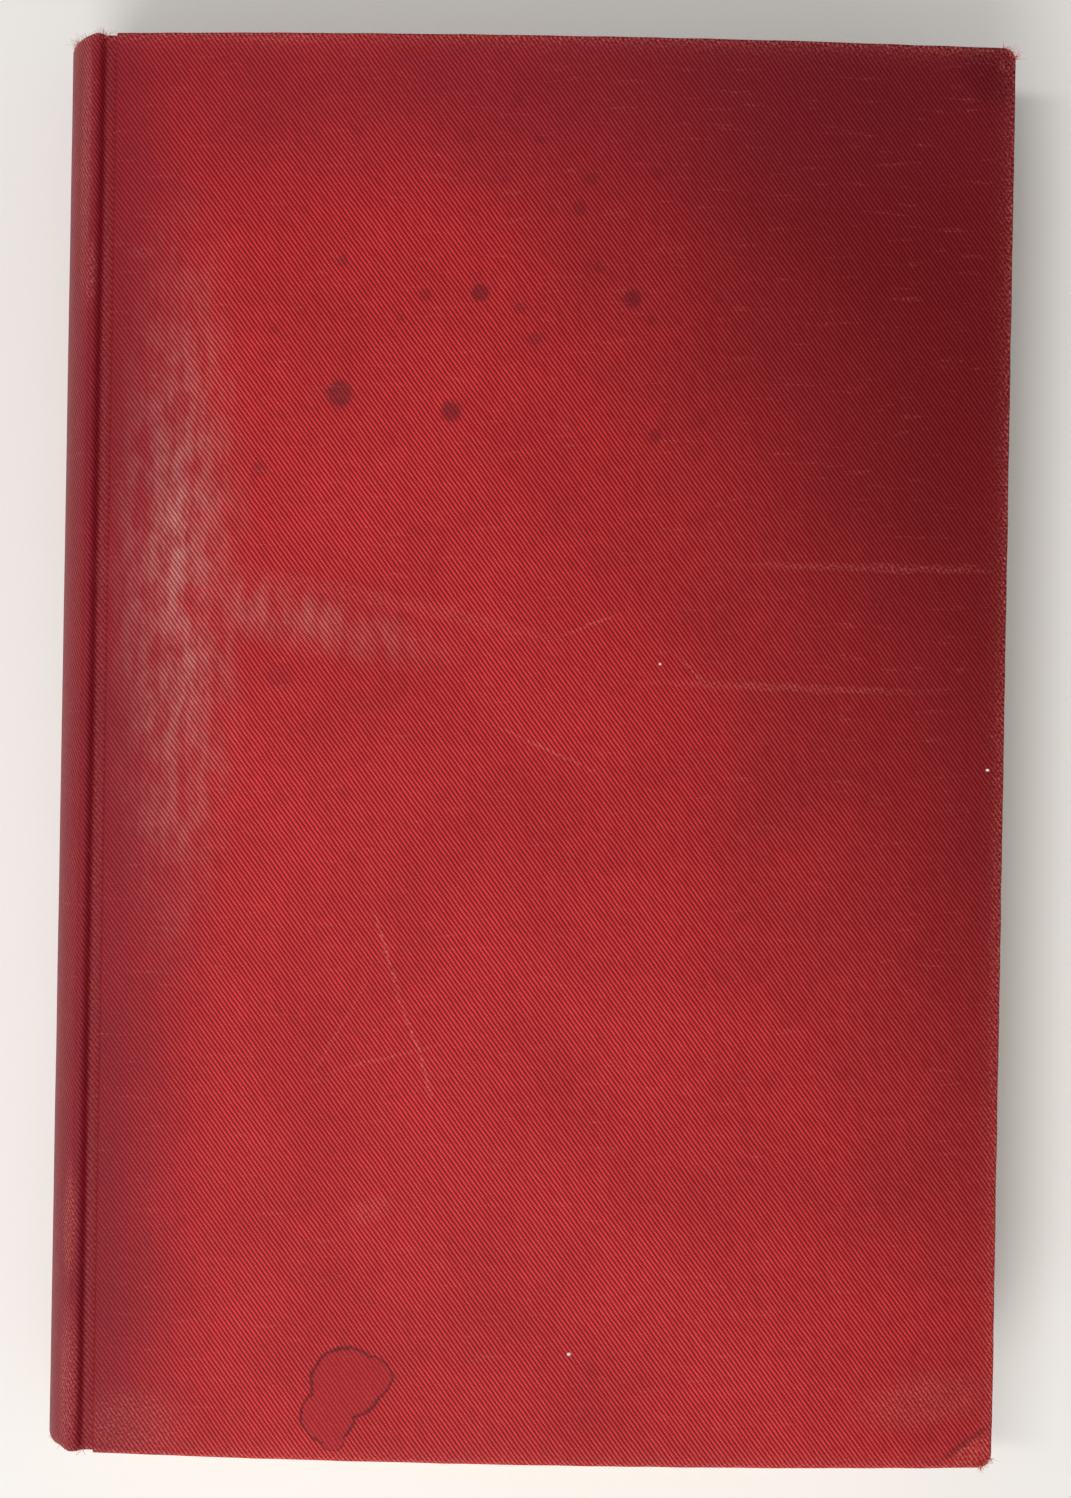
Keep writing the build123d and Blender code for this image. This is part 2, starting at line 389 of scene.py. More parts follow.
def round_corner(x, y):
    """Moves a point near a square fore corner so that the corner is round in plan."""
    centre_x, centre_y = FORE - CORNER_RADIUS, HALF - CORNER_RADIUS
    u, v = (x - centre_x) / CORNER_RADIUS, (abs(y) - centre_y) / CORNER_RADIUS
    if u <= 0 or v <= 0:
        return x, y
    round_u, round_v = u * math.sqrt(1 - v * v / 2), v * math.sqrt(1 - u * u / 2)
    return centre_x + CORNER_RADIUS * round_u, math.copysign(centre_y + CORNER_RADIUS * round_v, y)


def handled(x, y, z):
    """The small unevenness of a used case: soft waves on the spine, ragged caps and worn edges."""
    if x < BOARD_BACK:
        z += 0.1 * noise.noise(Vector((x / 6, y / 14, 4.1))) * smooth(OUTER - abs(z), 0, 0.5)
        cap = smooth(abs(y), HALF - 3.5, HALF)
        ragged = 0.12 + 0.3 * noise.noise(Vector((x / 1.7, y / 40, z / 1.7)))
        ragged *= 1 - 0.6 * smooth(x, CREST_X - 1, CREST_X + 1)
        y -= math.copysign(cap * ragged, y)
    else:
        along_edge = smooth(abs(y), HALF - 2, HALF)
        y -= math.copysign(along_edge * 0.09 * (1 + noise.noise(Vector((x / 5, 2.2, 0)))), y)
        x -= smooth(x, FORE - 2, FORE) * 0.09 * (1 + noise.noise(Vector((7.7, y / 5, 0))))
    return x, y, z


FOLD_POINT = (78.2, -110.8)  # a point on the bumped tail corner's crease
FOLD_ACROSS = (0.566, -0.824)  # the direction from the crease to the corner


def bumped(x, y, z, side):
    """The front cover is faintly waved, and its tail corner turns down past a crease."""
    if side < 0:
        return z
    wave = 0.07 * noise.noise(Vector((x / 22, y / 26, 0.3)))
    past = (x - FOLD_POINT[0]) * FOLD_ACROSS[0] + (y - FOLD_POINT[1]) * FOLD_ACROSS[1]
    return z + wave - 0.3 * smooth(past, 0, 4.5)


def cover_column(station, on_board, along, side, bow, turn_in, rows):
    """One column of the case, from the tail turn-in over the face to the head turn-in."""
    outer, inner = station
    depth = math.dist(outer, inner)
    radius, profile = edge_profile(depth, turn_in)

    def place(y, inset, drop, run, wear):
        if on_board:
            reach = (FORE - inset - BOARD_BACK) / (FORE - EDGE_RADIUS - BOARD_BACK)
            x = BOARD_BACK + (outer[0] - BOARD_BACK) * reach
            z = OUTER + rise(min(x, BOARD_HIGH[0]), bow) - drop
            x, y = round_corner(x, y)
        else:
            t = drop / depth
            x, z = (outer[i] + (inner[i] - outer[i]) * t for i in (0, 1))
        x, y, z = handled(x, y, z)
        z = bumped(x, y, z, side)
        return (x, y, MIDDLE + side * z), (along, run, 0.0), wear

    ends = []
    for inset, drop, run in profile:
        ends.append((HALF - inset, inset, drop, HALF - radius + run, edge_wear(inset, drop, depth)))
    near_fore = math.exp(-(FORE - outer[0]) / WEAR_REACH) if on_board else 0.0
    tail = [place(-y, inset, drop, -run, wear) for y, inset, drop, run, wear in reversed(ends)]
    face = [
        place(y, EDGE_RADIUS, 0.0, y, max(near_fore, math.exp(-(HALF - abs(y)) / WEAR_REACH)))
        for y in rows[1:-1]
    ]
    head = [place(y, inset, drop, run, wear) for y, inset, drop, run, wear in ends]
    return tail + face + head


def fore_columns(side, bow, turn_in, rows):
    """The strips of cloth down the fore edge and under it."""
    radius, profile = edge_profile(COVER_DEPTH, turn_in)
    columns = []
    for inset, drop, run in profile:
        column = []
        for row in rows:
            x, y = FORE - inset, row * (HALF - inset) / (HALF - radius)
            z = OUTER + rise(min(x, BOARD_HIGH[0]), bow) - drop
            x, y = round_corner(x, y)
            x, y, z = handled(x, y, z)
            z = bumped(x, y, z, side)
            wear = edge_wear(inset, drop, COVER_DEPTH)
            column.append(((x, y, MIDDLE + side * z), (FORE - radius + run, row, 0.0), wear))
        columns.append(column)
    return columns


def case_piece(name, side, bow, stations, settings, material):
    """One cover's cloth, and the spine's too where its stations include it."""
    turn_in = settings.turn_in / MM
    rows = spread(-HALF + EDGE_RADIUS, HALF - EDGE_RADIUS, True, True)
    sheet = Sheet()
    places = flat_places(stations)
    columns = [cover_column(s, False, u, side, bow, turn_in, rows) for s, u in zip(stations[:-1], places)]
    for x in spread(BOARD_BACK, FORE - EDGE_RADIUS, False, True):
        level = OUTER + rise(min(x, BOARD_HIGH[0]), bow)
        station = ((x, level), (x, level - COVER_DEPTH))
        columns.append(cover_column(station, True, x, side, bow, turn_in, rows))
    sheet.grid(columns)
    sheet.grid(fore_columns(side, bow, turn_in, rows))
    mesh = sheet.mesh(name)
    joined(mesh, side)
    piece = shown(mesh, material)
    thicken(piece, settings.thickness)
    return piece


def bend_across_joint(piece, side):
    """Bakes a sheet's placement into its mesh, the same on either side."""
    if side > 0:
        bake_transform(piece)
    else:
        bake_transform(piece)


# ---------------------------------------------------------------------------------------------
# Materials


WAVE = 2 * math.pi / 20  # a wave texture of scale 1 repeats over this length
PER_MM = (1 / MM,) * 3
TWILL_ANGLE = 53.5  # degrees from the cover's width to the twill's ribs
BUMP_FILTER = 0.1
EASED = {"interpolation_type": "SMOOTHSTEP"}
MIXED = {"data_type": "RGBA"}
TIMES = {"operation": "MULTIPLY"}
LARGER = {"operation": "MAXIMUM"}
LESS = {"operation": "SUBTRACT"}


def add(tree, kind, *values, out=0, **settings):
    """Adds a node, sets its options, gives its inputs in order a value or link, and returns an output."""
    node = tree.nodes.new("ShaderNode" + kind)
    for key, value in settings.items():
        setattr(node, key, value)
    for socket, value in zip([s for s in node.inputs if s.enabled], values):
        if isinstance(value, bpy.types.NodeSocket):
            tree.links.new(value, socket)
        else:
            socket.default_value = (*value[:3], 1) if socket.type == "RGBA" else value
    outputs = [s for s in node.outputs if s.enabled]
    return outputs[out] if outputs else None


def new_material(name):
    """An empty material with its output and its shader."""
    material = bpy.data.materials.new(name)
    material.use_nodes = True
    tree = material.node_tree
    tree.nodes.clear()
    surface = add(tree, "BsdfPrincipled")
    add(tree, "OutputMaterial", surface)
    return material, tree, surface.node


def finish_shader(tree, shader, shade, height, relief, roughness):
    """Joins a colour and a relief, in metres, to a shader and sets its roughness."""
    bump = add(tree, "Bump", 1.0, relief, BUMP_FILTER, height)
    tree.links.new(shade, shader.inputs["Base Color"])
    tree.links.new(bump, shader.inputs["Normal"])
    if isinstance(roughness, bpy.types.NodeSocket):
        tree.links.new(roughness, shader.inputs["Roughness"])
    else:
        shader.inputs["Roughness"].default_value = roughness


def marks(tree, place, places, soft=0.35):
    """Where any of a list of oval marks lies: centre, half sizes, angle and strength each."""
    total = 0.0
    for x, y, half_long, half_wide, angle, strength in places:
        turn, size = (0, 0, math.radians(angle)), (half_long, half_wide, 1)
        oval = add(tree, "Mapping", place, (x, y, 0), turn, size, vector_type="TEXTURE")
        reach = add(tree, "VectorMath", oval, operation="LENGTH")
        mark = add(tree, "MapRange", reach, 1 - soft, 1 + soft, strength, 0.0, **EASED)
        total = add(tree, "Math", mark, total, **LARGER)
    return total


def rounds(tree, place, places, soft):
    """Where any of a list of small round marks lies: centre, radius and strength each."""
    total = 0.0
    for x, y, radius, strength in places:
        reach = add(tree, "VectorMath", place, (x, y, 0), operation="DISTANCE")
        low, high = radius * (1 - soft), radius * (1 + soft)
        mark = add(tree, "MapRange", reach, low, high, strength, 0.0, **EASED)
        total = add(tree, "Math", mark, total, **LARGER)
    return total


# Old drips on the front cover, in millimetres from its middle: across, up, radius, strength.
DRIPS = (
    (-31.5, 58, 2.1, 0.8), (-13, 55.5, 1.7, 0.75), (-8.5, 75, 1.5, 0.75), (16.5, 74.5, 1.5, 0.8),
    (20.5, 52, 1.2, 0.5), (9.5, 94, 1.1, 0.45), (7.5, 89, 1.2, 0.45), (-4.5, 93.5, 0.8, 0.35),
    (-11, 100.5, 1.3, 0.25), (-3, 107, 0.9, 0.3), (1, 100.5, 1, 0.3), (-17.5, 74.5, 1, 0.4),
    (-21.5, 70.5, 0.8, 0.35), (-31.5, 80, 1, 0.35), (-42.5, 68.5, 0.7, 0.35), (-44.5, 45.5, 1.4, 0.35),
    (-40.5, 11.5, 2.2, 0.2), (-2, 72.5, 0.9, 0.4), (0.5, 67.5, 1.2, 0.4), (11, 79.5, 1, 0.4),
    (20, 95, 1, 0.4), (19.5, 71, 0.8, 0.3), (24, 71, 0.8, 0.3), (30.5, 74.5, 0.9, 0.35), (28, 55, 1.6, 0.2),
)
# The water stain near the tail: overlapping rounds, across, up and radius.
WATER_STAIN = ((-27.5, -104.5, 5.8), (-30.5, -110, 4.4), (-23.5, -103.5, 3.5), (-29.5, -114, 1.8))
# Scratches that opened the cloth: middle, half length, half width, angle, strength.
SCRATCHES = (
    (-22, -34, 7, 0.3, -72, 1), (-18, -46, 6, 0.3, -68, 1), (-15.5, -53, 4.5, 0.28, -75, 0.9),
    (4, 0, 9, 0.28, -24, 0.8), (10, 20.5, 5, 0.28, 22, 0.6), (-22, -51, 9, 0.28, 15, 0.5),
    (-30, -47, 9, 0.25, 60, 0.35), (28, 13, 4, 0.28, -42, 0.6),
    (57, 31, 23, 0.6, 0, 0.4), (42, 11, 22, 0.6, -1, 0.4), (-22, 24, 27, 1.2, -12, 0.3),
)
# Rubbed patches: middle, half length, half width, angle, strength. The long faint strip at -72 down the whole
# groove is partly wear and partly painted light that lifts the groove's shade.
RUBS_AND_GROOVE_LIGHT = (
    (-42, 117, 10, 1.4, 0, 0.9), (5, 117, 6, 1, 0, 0.6), (68, 117, 10, 1.2, 0, 0.7),
    (-63, -113, 9, 6, 0, 0.6), (68, -106, 11, 4, 10, 0.5), (-24, -76, 3.5, 1.8, 20, 0.5),
    (-65, 81, 2, 1, 0, 0.4), (76.2, -115, 5, 2.2, 34, 1), (78, 114.3, 2.2, 1.4, -35, 0.6),
    (78.5, -30, 60, 1.1, 90, 0.6), (-76, -80, 9, 1.6, 90, 0.9), (-75, 78, 5, 1.2, 90, 0.8),
    (-76.5, 98, 22, 1.6, 90, 0.8), (-76, -106, 12, 2.2, 90, 0.9), (-72, 0, 118, 0.9, 90, 0.35),
)
# Painted sheen: a pale streak of painted reflection on the rib tops along the front cover's back edge.
SHEEN_STREAK = (
    (-57.5, 27, 42, 8, 90, 0.5), (-57.5, 34, 17, 3.2, 88, 0.9), (-56, 8, 14, 3, 92, 0.6),
    (-42, 22, 22, 4, -12, 0.35),
)
# painted shade: a dark line along the bumped tail corner's crease
CREASE_SHADE = ((74.7, -113.2, 4.4, 0.5, 34.5, 0.5),)
# painted shade darkening the head's fore corner
SHADED_HEAD_CORNER = ((77, 114, 7, 6, -30, 0.75),)
PALE_SPECKS = ((9, -99, 0.3, 0.25, 0, 0.8), (22, 14.5, 0.22, 0.2, 0, 0.7), (76.5, -2, 0.3, 0.2, 0, 0.9))


def twill_relief(tree, place, settings):
    """The ribs and the threads across them, and the cloth's rotated place."""
    drift = add(tree, "TexNoise", place, 1 / 3.5, 3.0, 0.55, out=1)
    wander = add(tree, "VectorMath", drift, (0.22,) * 3, place, operation="MULTIPLY_ADD")
    turned = add(tree, "VectorRotate", wander, (0, 0, 0), math.radians(TWILL_ANGLE), rotation_type="Z_AXIS")
    waves = []
    for direction, pitch in (("Y", settings.rib_pitch), ("X", settings.thread_pitch)):
        scale = WAVE / (pitch / MM)
        waves.append(add(tree, "TexWave", turned, scale, 0.5, 1.0, 3.0, out=1, bands_direction=direction))
    ribs, threads = waves
    return add(tree, "Math", ribs, 0.75, operation="POWER"), threads, turned


def woven_red(tree, place, settings):
    """The twill's ropes of thread, their red with painted shade in the valleys between the ribs, and its
    tired patches.
    """
    ribs, threads, turned = twill_relief(tree, place, settings)
    stretched = add(tree, "VectorMath", turned, (0.35, 1.6, 1), **TIMES)
    slubs = add(tree, "TexNoise", stretched, 1 / 1.1, 2.0, 0.55)
    blotches = add(tree, "TexNoise", place, 1 / 28, 4.0, 0.55)
    rope = add(tree, "Math", ribs, add(tree, "MapRange", threads, 0, 1, 0.55, 1.0, **EASED), **TIMES)
    rope = add(tree, "Math", rope, add(tree, "MapRange", slubs, 0.3, 0.7, 0.78, 1.15, **EASED), **TIMES)
    height = add(tree, "MapRange", rope, 0.05, 0.85, **EASED)
    # painted shade: the valleys are mixed darker than the rib tops
    red = add(tree, "Mix", height, settings.valley_shade_red, settings.rib_red, **MIXED)
    tired = add(tree, "Math", add(tree, "MapRange", blotches, 0.3, 0.75, **EASED), 0.25, **TIMES)
    return rope, add(tree, "Mix", tired, red, settings.deep_tone_and_shade_red, **MIXED)


def painted_shade(tree, red, place, settings):
    """Painted shade: darker towards the head and the fore edge, and darker again along the spine and the
    head.
    """
    # painted shade: the cloth darkens towards the head and the fore edge
    toward = add(tree, "VectorMath", place, (0.75, 0.3, 0), operation="DOT_PRODUCT")
    share = add(tree, "MapRange", toward, 0, 78, 0, 0.9, **EASED)
    red = add(tree, "Mix", share, red, settings.deep_tone_and_shade_red, **MIXED)
    # painted shade: a darker band along the spine and along the head
    across, up = add(tree, "SeparateXYZ", place), add(tree, "SeparateXYZ", place, out=1)
    by_spine = add(tree, "MapRange", across, -46, -74, 0, 0.75, **EASED)
    by_head = add(tree, "MapRange", up, 78, 114, 0, 0.42, **EASED)
    band_shade = add(tree, "Math", by_spine, by_head, **LARGER)
    return add(tree, "Mix", band_shade, red, settings.spine_head_shade_red, **MIXED)


def stains_and_shade(tree, red, place, ragged, settings):
    """The water stain with its dark tide line, the drips, and the painted shade in the head's fore corner and
    along the tail corner's crease.
    """
    water = marks(tree, ragged, [(x, y, r, r, 0, 1.0) for x, y, r in WATER_STAIN], 0.09)
    dry = add(tree, "Math", 1.0, water, **LESS)
    tide = add(tree, "Math", add(tree, "Math", water, dry, **TIMES), 4.0, **TIMES)
    drips = rounds(tree, ragged, DRIPS, 0.3)
    line = add(tree, "Math", tide, 0.85, use_clamp=True, **TIMES)
    layers = (
        (add(tree, "Math", water, 0.6, **TIMES), linear("#98101b")),
        (line, linear("#5a0710")),
        (add(tree, "Math", drips, 0.85, **TIMES), settings.spot_red),
        # painted shade in the head's fore corner
        (marks(tree, ragged, SHADED_HEAD_CORNER, 0.5), linear("#5c0410")),
        # painted shade along the crease
        (marks(tree, place, CREASE_SHADE, 0.6), linear("#4a060e")),
    )
    for share, shade in layers:
        red = add(tree, "Mix", share, red, shade, **MIXED)
    return red, add(tree, "Math", add(tree, "Math", water, 0.75, **TIMES), drips, **LARGER)


def painted_rib_sheen(tree, red, rope, place, ragged):
    """A painted sheen: the tops of the ribs painted pale in patches, as a reflection."""
    tall = add(tree, "VectorMath", place, (1.0, 0.3, 1), **TIMES)
    patchy = add(tree, "TexNoise", tall, 1 / 2.6, 4.0, 0.65)
    patches = add(tree, "MapRange", patchy, 0.35, 0.68, 0.15, 1, **EASED)
    painted_sheen = add(tree, "Math", marks(tree, ragged, SHEEN_STREAK, 0.75), patches, **TIMES)
    painted_sheen = add(tree, "Math", painted_sheen, add(tree, "MapRange", rope, 0.2, 0.75, 0.25, 1, **EASED), **TIMES)
    share = add(tree, "Math", painted_sheen, 0.75, use_clamp=True, **TIMES)
    # painted highlight: the pale colour of the painted sheen
    return add(tree, "Mix", share, red, linear("#e3a49c"), **MIXED)


def scuffed(tree, wear, place, ragged):
    """The wear with the rubbed patches, the brushed scuffs and the scratches in it, and painted light down
    the groove.
    """
    brushed = add(tree, "VectorMath", place, (0.16, 1.3, 1), **TIMES)
    scuffs = add(tree, "TexNoise", brushed, 1 / 1.5, 4.0, 0.7)
    scuffs = add(tree, "MapRange", scuffs, 0.56, 0.72, 0, 0.55, **EASED)
    # the rubbed patches include a strip of painted light down the groove
    rubbed = add(tree, "Math", marks(tree, ragged, RUBS_AND_GROOVE_LIGHT, 0.5), scuffs, **LARGER)
    torn = marks(tree, ragged, SCRATCHES, 0.5)
    for mark, strength in ((rubbed, 0.8), (torn, 1.1)):
        wear = add(tree, "Math", wear, add(tree, "Math", mark, strength, **TIMES), **LARGER)
    return wear


def make_glazed_twill(settings, with_marks):
    """Starched cotton book cloth in a steep twill, dyed red and glazed between rollers.

    The glaze gives the rib tops a soft broad shine, the valleys carry painted shade, and rubbed edges go
    pale and dry. Its drips, stains and scratches, and its painted sheen and broad painted shade, lie on the
    front cover only.
    """
    material, tree, shader = new_material("glazed_red_twill" if with_marks else "glazed_red_twill_back")
    place = add(tree, "Attribute", out=1, attribute_name=FLAT)
    wear = add(tree, "Attribute", out=2, attribute_name=WEAR)
    rope, red = woven_red(tree, place, settings)
    roughness = add(tree, "MapRange", rope, 0, 1, 0.6, 0.3, **EASED)
    if with_marks:
        drift = add(tree, "TexNoise", place, 1 / 1.6, 3.0, 0.55, out=1)
        shifted = add(tree, "VectorMath", drift, (1.1,) * 3, place, operation="MULTIPLY_ADD")
        ragged = add(tree, "VectorMath", shifted, (0.55,) * 3, **LESS)
        red = painted_shade(tree, red, place, settings)
        red, soaked = stains_and_shade(tree, red, place, ragged, settings)
        red = painted_rib_sheen(tree, red, rope, place, ragged)
        wear = scuffed(tree, wear, place, ragged)
        crisp = add(tree, "Math", 1.0, add(tree, "Math", soaked, 0.55, **TIMES), **LESS)
        rope = add(tree, "Math", rope, crisp, **TIMES)
        red = add(tree, "Mix", marks(tree, place, PALE_SPECKS, 0.4), red, linear("#f2e6e2"), **MIXED)
    flecks = add(tree, "TexNoise", place, 1 / 0.45, 2.0, 0.7)
    broken = add(tree, "Math", wear, add(tree, "MapRange", flecks, 0.42, 0.62, **EASED), **TIMES)
    broken = add(tree, "Math", broken, add(tree, "MapRange", rope, 0.1, 0.6, 0.35, 1.0, **EASED), **TIMES)
    share = add(tree, "Math", broken, 0.6, use_clamp=True, **TIMES)
    red = add(tree, "Mix", share, red, settings.worn_red, **MIXED)
    finish_shader(tree, shader, red, rope, 0.08 * MM, roughness)
    shader.inputs["Specular IOR Level"].default_value = 0.17
    return material


def make_leaf_edges(settings):
    """Uncoated book paper, cut with a guillotine: matt cream edges, with dust and painted shade in the lines
    between the leaves.
    """
    material, tree, shader = new_material("cut_book_paper")
    place = add(tree, "Attribute", out=1, attribute_name=FLAT)
    scale = WAVE / (settings.leaf_pitch / MM)
    lines = add(tree, "TexWave", place, scale, 1.2, 2.0, 0.6, out=1, bands_direction="Z")
    streaks = add(tree, "VectorMath", place, (0.03, 0.03, 1.3), **TIMES)
    bands = add(tree, "TexNoise", streaks, 1 / 0.8, 4.0, 0.7)
    stains = add(tree, "TexNoise", place, 1 / 22, 3.0, 0.55)
    # painted shade: the fine lines between the leaves are coloured darker
    shade = add(tree, "Math", add(tree, "MapRange", lines, 0, 0.7, 1, 0, **EASED), 0.4, **TIMES)
    dust = add(tree, "MapRange", bands, 0.45, 0.8, 0, 0.45, **EASED)
    shade = add(tree, "Math", shade, dust, operation="ADD", use_clamp=True)
    paper = add(tree, "Mix", shade, settings.paper_cream, settings.paper_dust_and_shade, **MIXED)
    brown = add(tree, "MapRange", stains, 0.5, 0.8, 0, 0.3, **EASED)
    paper = add(tree, "Mix", brown, paper, linear("#b99c6d"), **MIXED)
    finish_shader(tree, shader, paper, lines, 0.04 * MM, 0.85)
    shader.inputs["Specular IOR Level"].default_value = 0.3
    return material


def make_endpaper(settings):
    """Plain wove endpaper, pasted wet and pressed: matt, with faint fibres and brown age spots."""
    material, tree, shader = new_material("pasted_wove_paper")
    place = add(tree, "Attribute", out=1, attribute_name=FLAT)
    fibres = add(tree, "TexNoise", place, 1 / 0.7, 6.0, 0.75)
    tone = add(tree, "TexNoise", place, 1 / 45, 3.0, 0.55)
    spots = add(tree, "TexNoise", place, 1 / 5.0, 5.0, 0.6)
    layers = (
        (add(tree, "MapRange", tone, 0.3, 0.75, 0, 0.45, **EASED), "#cbb48a"),
        (add(tree, "MapRange", fibres, 0.35, 0.7, 0, 0.14, **EASED), "#a88f66"),
        (add(tree, "MapRange", spots, 0.66, 0.76, 0, 0.5, **EASED), "#9a6a38"),
    )
    paper = settings.endpaper_cream
    for share, code in layers:
        paper = add(tree, "Mix", share, paper, linear(code), **MIXED)
    finish_shader(tree, shader, paper, fibres, 0.03 * MM, 0.8)
    shader.inputs["Specular IOR Level"].default_value = 0.35
    return material


def make_pressed_fibre(name, light, dark, grain_mm, relief_mm):
    """Board, card or kraft: pulp pressed dry, matt and flecked, with the grain of its fibres."""
    material, tree, shader = new_material(name)
    in_mm = add(tree, "VectorMath", add(tree, "TexCoord", out=3), PER_MM, **TIMES)
    fibres = add(tree, "TexNoise", in_mm, 1 / grain_mm, 5.0, 0.7)
    flecks = add(tree, "TexNoise", in_mm, 1 / (grain_mm * 2.5), 2.0, 0.55)
    pulp = linear(light)
    for share, low, high, most in ((fibres, 0.3, 0.7, 1.0), (flecks, 0.62, 0.7, 0.5)):
        share = add(tree, "MapRange", share, low, high, 0, most, **EASED)
        pulp = add(tree, "Mix", share, pulp, linear(dark), **MIXED)
    finish_shader(tree, shader, pulp, fibres, relief_mm * MM, 0.85)
    return material


def make_mull():
    """Starched open cotton gauze: thin threads 1.1 mm apart each way over the glue behind them."""
    material, tree, shader = new_material("starched_cotton_mull")
    in_mm = add(tree, "VectorMath", add(tree, "TexCoord", out=3), PER_MM, **TIMES)
    crossing = 0.0
    for direction in ("X", "Y"):
        threads = add(tree, "TexWave", in_mm, WAVE / 1.1, out=1, bands_direction=direction)
        crossing = add(tree, "Math", add(tree, "MapRange", threads, 0.7, 0.9, **EASED), crossing, **LARGER)
    weave = add(tree, "Mix", crossing, linear("#a48a5c"), linear("#d9cba8"), **MIXED)
    finish_shader(tree, shader, weave, crossing, 0.1 * MM, 0.8)
    return material


def make_worked_thread():
    """Cotton thread worked over a cord, cream and red by turns, 1.2 mm each, round the spine, with painted
    shade between the strands.
    """
    material, tree, shader = new_material("worked_cotton_thread")
    along = add(tree, "SeparateXYZ", add(tree, "TexCoord", out=3), out=2)
    turns = add(tree, "Math", along, 1 / (2.4 * MM), **TIMES)
    stripe = add(tree, "Math", turns, operation="FRACT")
    strands = add(tree, "Math", along, 1 / (0.4 * MM), **TIMES)
    strands = add(tree, "Math", strands, operation="FRACT")
    ridge = add(tree, "Math", add(tree, "Math", strands, math.pi, **TIMES), operation="SINE")
    stripe = add(tree, "MapRange", stripe, 0.47, 0.53, **EASED)
    silk = add(tree, "Mix", stripe, linear("#dccfae"), linear("#8f2a26"), **MIXED)
    # painted shade: dark brown between the strands
    between = add(tree, "MapRange", ridge, 0.6, 0.0, 0, 0.5, **EASED)
    silk = add(tree, "Mix", between, silk, linear("#5a3a28"), **MIXED)
    finish_shader(tree, shader, silk, ridge, 0.12 * MM, 0.65)
    return material


def make_frayed_cotton():
    """Broken ends of the dyed cotton, soft and dry, some still red and some rubbed to tan."""
    material, tree, shader = new_material("frayed_cotton_ends")
    in_mm = add(tree, "VectorMath", add(tree, "TexCoord", out=3), PER_MM, **TIMES)
    tint = add(tree, "TexNoise", in_mm, 1 / 0.6, 1.0, 0.55)
    share = add(tree, "MapRange", tint, 0.4, 0.62, **EASED)
    cotton = add(tree, "Mix", share, linear("#c41a24"), linear("#cf8f7c"), **MIXED)
    finish_shader(tree, shader, cotton, tint, 0.02 * MM, 0.85)
    return material


# ---------------------------------------------------------------------------------------------
# Endpapers and leaves


RIDGE = (17.0, 15.7)  # where the paper starts and ends its rise over the turned-in cloth


def with_ridges(values, edge):
    """The same values, with enough of them near an edge for the paper's ridge to be smooth."""
    ridge = [edge - inset for inset in (17.0, 16.7, 16.35, 16.0, 15.7, 15.2)]
    return sorted([value for value in values if not ridge[0] <= value <= ridge[-1]] + ridge)


def pasted_level(x, y, bow):
    """The visible face of the paper pasted inside a cover, over its gauze and turned-in cloth."""
    to_head, to_fore = ([edge - inset for inset in RIDGE] for edge in (HALF, FORE))
    over_cloth = max(smooth(abs(y), *to_head), smooth(x, *to_fore))
    over_gauze = smooth(GAUZE_HIGH[0] - x, 0, 0.8) * smooth(GAUZE_HIGH[1] - abs(y), 0, 0.8)
    depth = max(CLOTH * over_cloth, GAUZE * over_gauze)
    return INNER + rise(x, bow) - PAPER - depth


def pastedown_grid(side, bow):
    """The pasted half of an endpaper, from the shoulder's tip through the joint to the fore edge."""
    joint = GROOVE_LEVEL - JOINT_DEPTH - PAPER
    foot = WALL_X - WALL_RUN
    upper = with_ridges([y for y in spread(-LEAF_HALF, LEAF_HALF, False, False) if y > 0], HALF)
    ys = [-y for y in reversed(upper)] + upper
    bends = [TIP_X + (foot - TIP_X) * i / 14 for i in range(15)]
    wall = [(WALL_X + WALL_RUN * (i / 4 - 1) ** 3, smooth(i / 8, 0, 1)) for i in range(1, 9)]
    face = with_ridges([BOARD_BACK + (LEAF_FORE - BOARD_BACK) * i / 80 for i in range(1, 81)], FORE)
    columns = []
    for x in bends:
        level = TIP_LEVEL + PAPER + (joint - TIP_LEVEL - PAPER) * smooth(x, TIP_X, TIP_X + 0.8)
        columns.append([((x, y, MIDDLE + side * level), (x, y, 0.0), 0.0) for y in ys])
    for x, share in wall:
        levels = [joint + (pasted_level(BOARD_BACK, y, bow) - joint) * share for y in ys]
        columns.append([((x, y, MIDDLE + side * z), (x, y, 0.0), 0.0) for y, z in zip(ys, levels)])
    for x in face:
        columns.append([((x, y, MIDDLE + side * pasted_level(x, y, bow)), (x, y, 0.0), 0.0) for y in ys])
    return columns


def leaf_level(x, level):
    """The level that a leaf takes at x, from the one it has where the block is flat."""
    flare = smooth(TIP_X + SHOULDER_RUN - x, 0, SHOULDER_RUN) * (TIP_LEVEL / BLOCK_HALF - 1)
    share = ((level + BLOCK_HALF) / (2 * BLOCK_HALF)) ** 2
    foot = TIP_X + SHOULDER_RUN
    arch = rise(min(max(x, foot), LEAF_FORE), FRONT_SWELL, foot, LEAF_FORE)
    return level * (1 + flare) + share * arch


